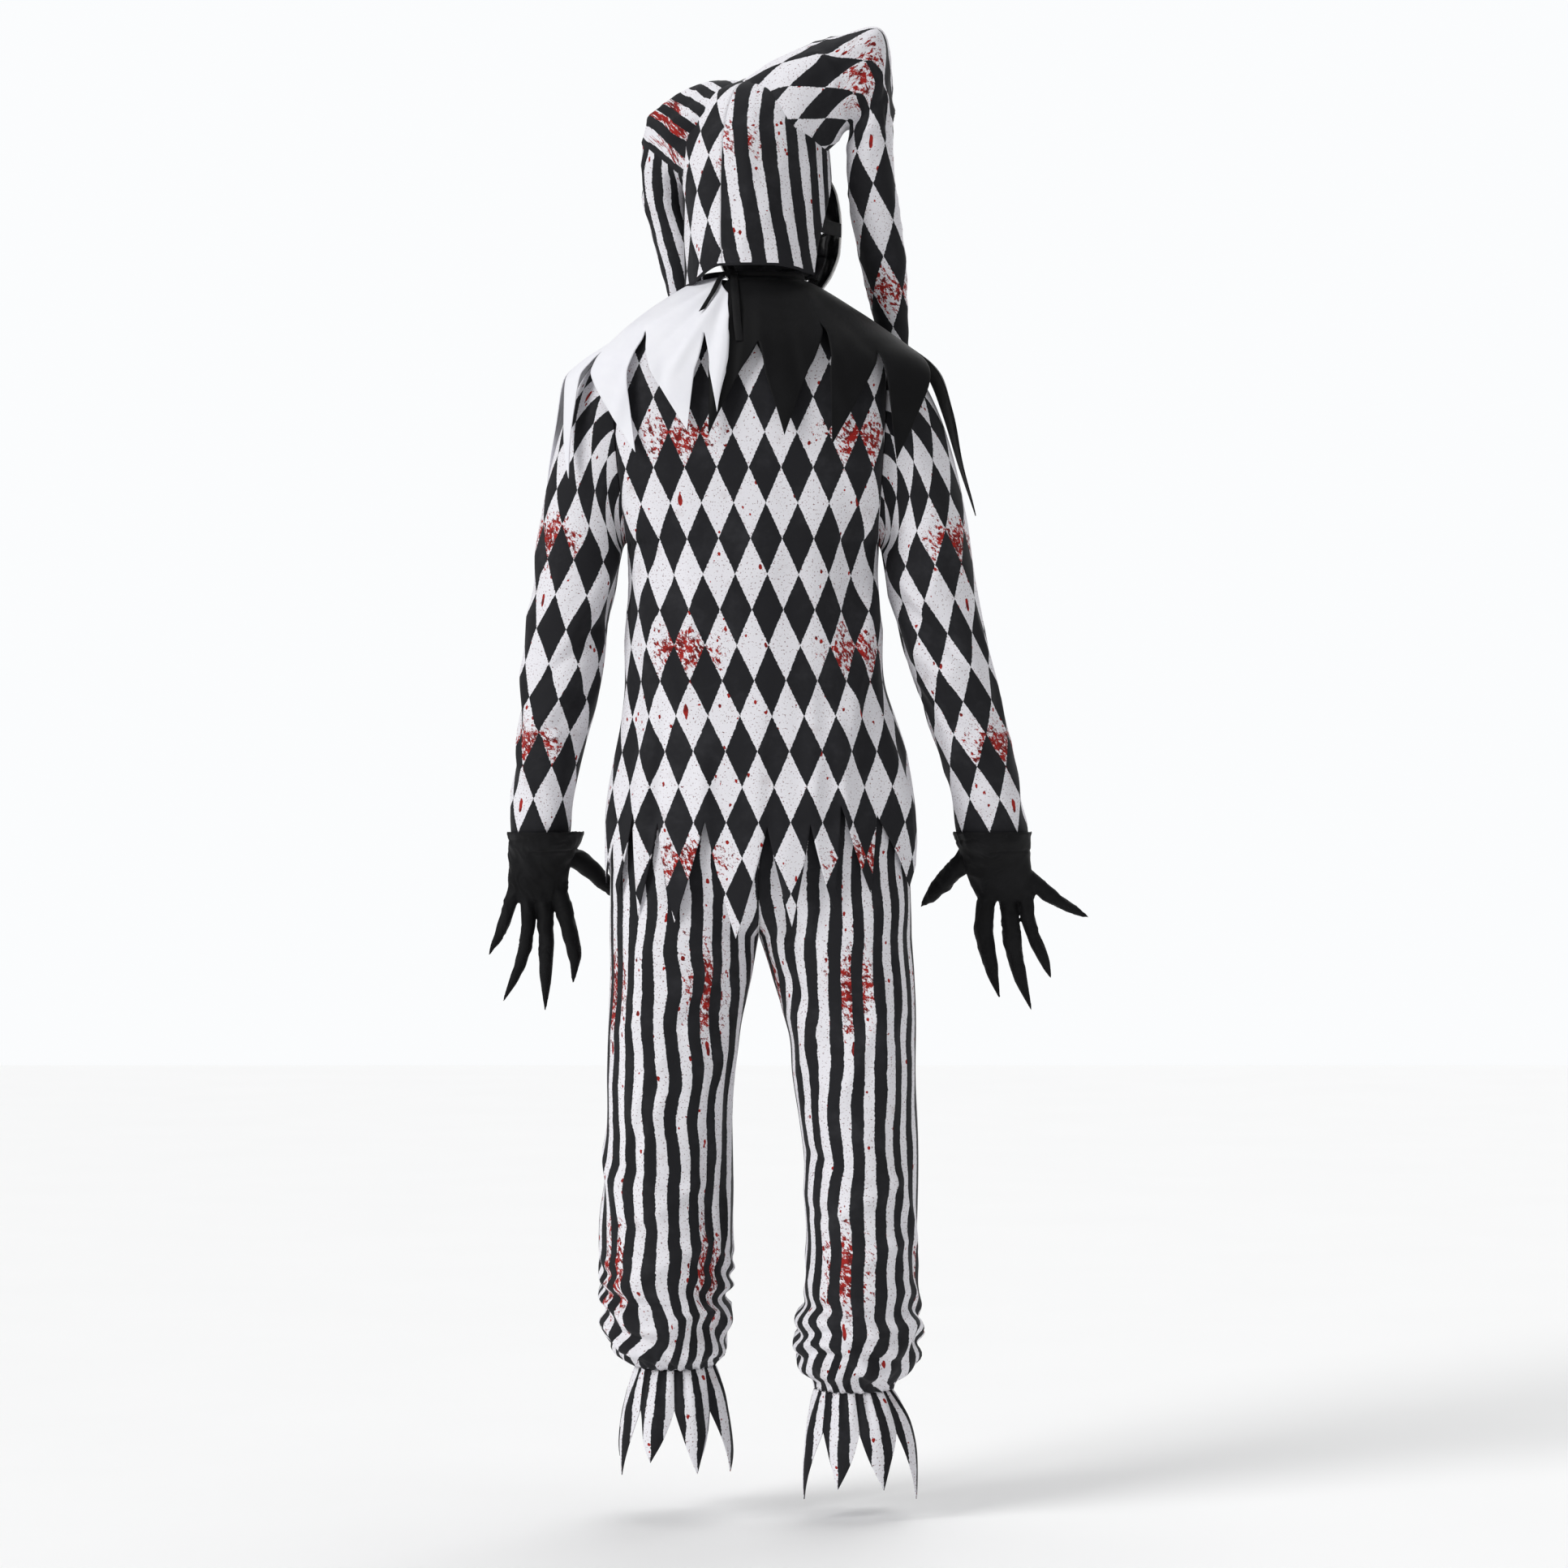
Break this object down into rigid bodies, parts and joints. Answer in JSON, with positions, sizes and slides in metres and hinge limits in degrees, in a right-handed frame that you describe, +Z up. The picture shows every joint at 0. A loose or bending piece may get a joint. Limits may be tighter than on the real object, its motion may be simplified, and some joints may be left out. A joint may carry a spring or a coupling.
{
  "type": "jester costume",
  "caption": "Full-body jester costume of hollow cloth: horned hood with face mask, dagged collar tied at the back, harlequin tunic, striped trousers with ankle frills, pointed gloves.",
  "frame": {"origin": "middle of the base of the neck, where the costume is held up", "axes": "+X to the wearer's right, +Y the way the chest faces, +Z up"},
  "size_m": [0.7892, 0.2688, 1.8956],
  "materials": {
    "harlequin_cloth": "thin matt polyester printed with black and white diamonds and a dark red splatter",
    "striped_cloth": "thin matt polyester printed with rough-edged black and white stripes and a dark red splatter",
    "white_cloth": "plain white polyester with a dark red splatter print",
    "black_cloth": "plain black polyester",
    "glove_cloth": "matt black stretch knit",
    "mask_shell": "smooth moulded plastic, white outside and black inside"
  },
  "bodies": {
    "root": {"tunic_back": "harlequin_cloth", "tunic_front": "harlequin_cloth", "sleeve_left": "harlequin_cloth", "sleeve_right": "harlequin_cloth", "collar_white": "white_cloth", "collar_black": "black_cloth", "neck_binding": "black_cloth", "tie_left": "black_cloth", "tie_right": "black_cloth", "tie_knot": "black_cloth", "trousers_left_back": "striped_cloth", "trousers_left_front": "striped_cloth", "trousers_right_back": "striped_cloth", "trousers_right_front": "striped_cloth", "waistband": "striped_cloth", "ankle_frill_left": "striped_cloth", "ankle_frill_right": "striped_cloth", "horn_left": "striped_cloth", "hood_left": "harlequin_cloth", "horn_right": "harlequin_cloth", "hood_right": "striped_cloth", "mask": "mask_shell", "mask_strap": "black_cloth", "glove_left": "glove_cloth", "glove_right": "glove_cloth"}
  },
  "joints": []
}
